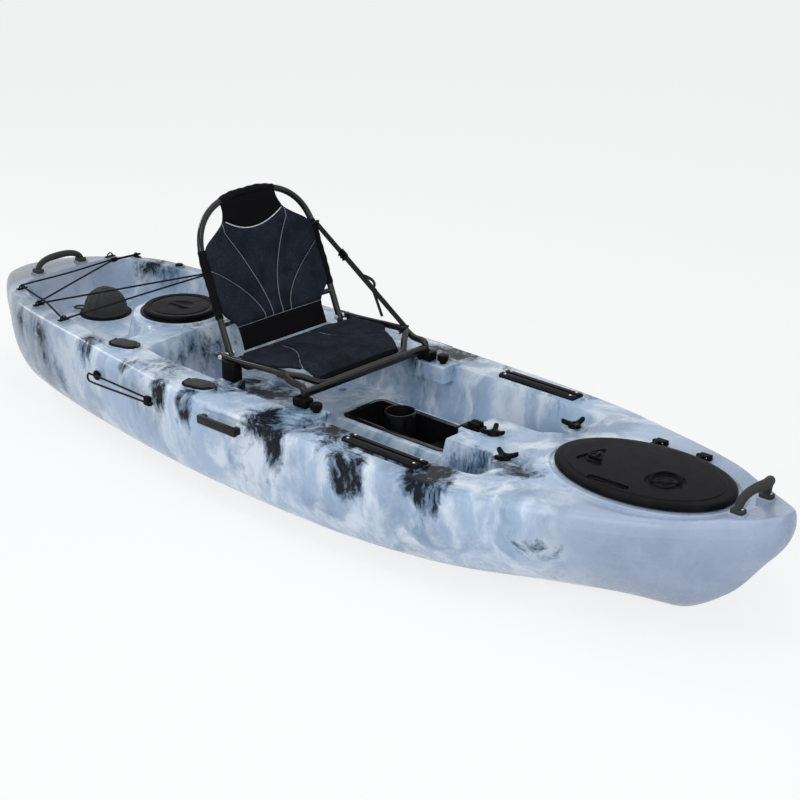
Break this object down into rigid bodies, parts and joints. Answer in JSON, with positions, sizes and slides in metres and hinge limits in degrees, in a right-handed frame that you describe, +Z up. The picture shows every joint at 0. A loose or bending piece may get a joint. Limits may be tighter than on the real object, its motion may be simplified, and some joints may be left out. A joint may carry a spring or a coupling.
{
  "type": "pedal kayak",
  "caption": "Sit-on-top fishing kayak with a framed folding seat, bow and stern hatches, rod holders, gear tracks and a covered well for a pedal drive.",
  "frame": {"origin": "amidships on the flat keel strip", "axes": "+X to the bow, +Y to port, +Z up"},
  "size_m": [3.05, 0.9154, 0.813],
  "materials": {
    "hull": "rotomoulded, satin, marbled",
    "lid": "fine grain",
    "black": "moulded, satin",
    "rubber": "soft, matt",
    "frame": "gloss black powder coat",
    "fabric": "woven, padded",
    "webbing": "woven cord and webbing",
    "steel": "plain",
    "aluminium": "black anodised"
  },
  "bodies": {
    "hull": {"bow_handle": "rubber", "bow_hatch_gasket": "rubber", "bow_hatch_rim": "black", "bow_hinge_pin_aft": "steel", "bow_hinge_pin_fore": "steel", "bungee_aft": "webbing", "bungee_fore": "webbing", "bungee_hook": "black", "dome_rim": "black", "drive_cleat": "black", "gear_track_port": "aluminium", "gear_track_starboard": "aluminium", "hull": "hull", "keeper_button": "black", "keeper_cord": "webbing", "keeper_hook": "black", "pad_eye_a": "black", "pad_eye_b": "black", "pad_eye_c": "black", "pad_eye_d": "black", "pad_eye_e": "black", "pad_eye_f": "black", "paddle_cleat_port": "black", "paddle_cleat_starboard": "black", "rod_holder_aft_port": "black", "rod_holder_aft_starboard": "black", "rod_holder_mid_port": "black", "rod_holder_mid_starboard": "black", "seat_base_frame": "frame", "seat_cushion": "fabric", "seat_foot_front_port": "black", "seat_foot_front_starboard": "black", "seat_foot_rear_port": "black", "seat_foot_rear_starboard": "black", "seat_hinge_bolt_port": "steel", "seat_hinge_bolt_starboard": "steel", "seat_strap": "webbing", "side_handle_port": "black", "side_handle_starboard": "black", "stern_handle": "rubber", "stern_hatch_rim": "black", "strap_buckle": "black"},
    "bow_lid": {"bow_hatch_lid": "lid"},
    "latch_aft": {"bow_latch_aft": "black"},
    "latch_fore": {"bow_latch_fore": "black"},
    "stern_lid": {"stern_hatch_lid": "lid"},
    "dome": {"dome_cover": "rubber"},
    "cap_aft_port": {"rod_cap_aft_port": "rubber"},
    "cap_aft_starboard": {"rod_cap_aft_starboard": "rubber"},
    "cap_mid_port": {"rod_cap_mid_port": "rubber"},
    "cap_mid_starboard": {"rod_cap_mid_starboard": "rubber"},
    "insert": {"drive_insert": "black"},
    "drive_latch": {"drive_latch": "black"},
    "backrest": {"backrest_frame": "frame", "backrest_panel": "fabric"},
    "drain": {"drain_plug": "black"},
    "knob_port": {"seat_knob_port": "black"},
    "knob_starboard": {"seat_knob_starboard": "black"}
  },
  "joints": [
    {"name": "bow_lid_hinge", "type": "hinge", "parent": "hull", "child": "bow_lid", "pos_m": [1.089, 0.184, 0.3505], "axis": [-1, 0, 0], "range_deg": [0, 110]},
    {"name": "latch_aft_turn", "type": "hinge", "parent": "bow_lid", "child": "latch_aft", "pos_m": [0.955, -0.022, 0.3601], "axis": [0, 0, -1], "range_deg": [0, 90]},
    {"name": "latch_fore_turn", "type": "hinge", "parent": "bow_lid", "child": "latch_fore", "pos_m": [1.175, -0.03, 0.3601], "axis": [0, 0, 1], "range_deg": [0, 90]},
    {"name": "stern_lid_twist", "type": "hinge", "parent": "hull", "child": "stern_lid", "pos_m": [-0.716, 0, 0.3542], "axis": [0, 0, 1], "range_deg": [0, 60]},
    {"name": "dome_twist", "type": "hinge", "parent": "hull", "child": "dome", "pos_m": [-1.1, 0, 0.2525], "axis": [0, 0, 1], "range_deg": [0, 60]},
    {"name": "cap_aft_port_hinge", "type": "hinge", "parent": "hull", "child": "cap_aft_port", "pos_m": [-0.6677, 0.3116, 0.3489], "axis": [-0.2419, -0.9703, 0], "range_deg": [0, 100]},
    {"name": "cap_aft_starboard_hinge", "type": "hinge", "parent": "hull", "child": "cap_aft_starboard", "pos_m": [-0.6677, -0.3116, 0.3489], "axis": [0.2419, -0.9703, 0], "range_deg": [0, 100]},
    {"name": "cap_mid_port_hinge", "type": "hinge", "parent": "hull", "child": "cap_mid_port", "pos_m": [-0.2757, 0.3601, 0.3385], "axis": [-0.2419, -0.9703, 0], "range_deg": [0, 100]},
    {"name": "cap_mid_starboard_hinge", "type": "hinge", "parent": "hull", "child": "cap_mid_starboard", "pos_m": [-0.2757, -0.3601, 0.3385], "axis": [0.2419, -0.9703, 0], "range_deg": [0, 100]},
    {"name": "insert_lift", "type": "slide", "parent": "hull", "child": "insert", "axis": [0, 0, 1], "range_m": [0, 0.1]},
    {"name": "drive_latch_slide", "type": "slide", "parent": "hull", "child": "drive_latch", "axis": [-1, 0, 0], "range_m": [0, 0.015]},
    {"name": "backrest_fold", "type": "hinge", "parent": "hull", "child": "backrest", "pos_m": [-0.236, 0, 0.392], "axis": [0, 1, 0], "range_deg": [0, 80], "deforming": ["seat_strap"]},
    {"name": "drain_turn", "type": "hinge", "parent": "hull", "child": "drain", "pos_m": [-1.06, 0.2873, 0.3564], "axis": [0, 0, 1], "continuous": true},
    {"name": "knob_port_turn", "type": "hinge", "parent": "hull", "child": "knob_port", "pos_m": [0.159, 0.261, 0.3336], "axis": [0, 0, 1], "continuous": true},
    {"name": "knob_starboard_turn", "type": "hinge", "parent": "hull", "child": "knob_starboard", "pos_m": [0.159, -0.261, 0.3336], "axis": [0, 0, 1], "continuous": true}
  ]
}
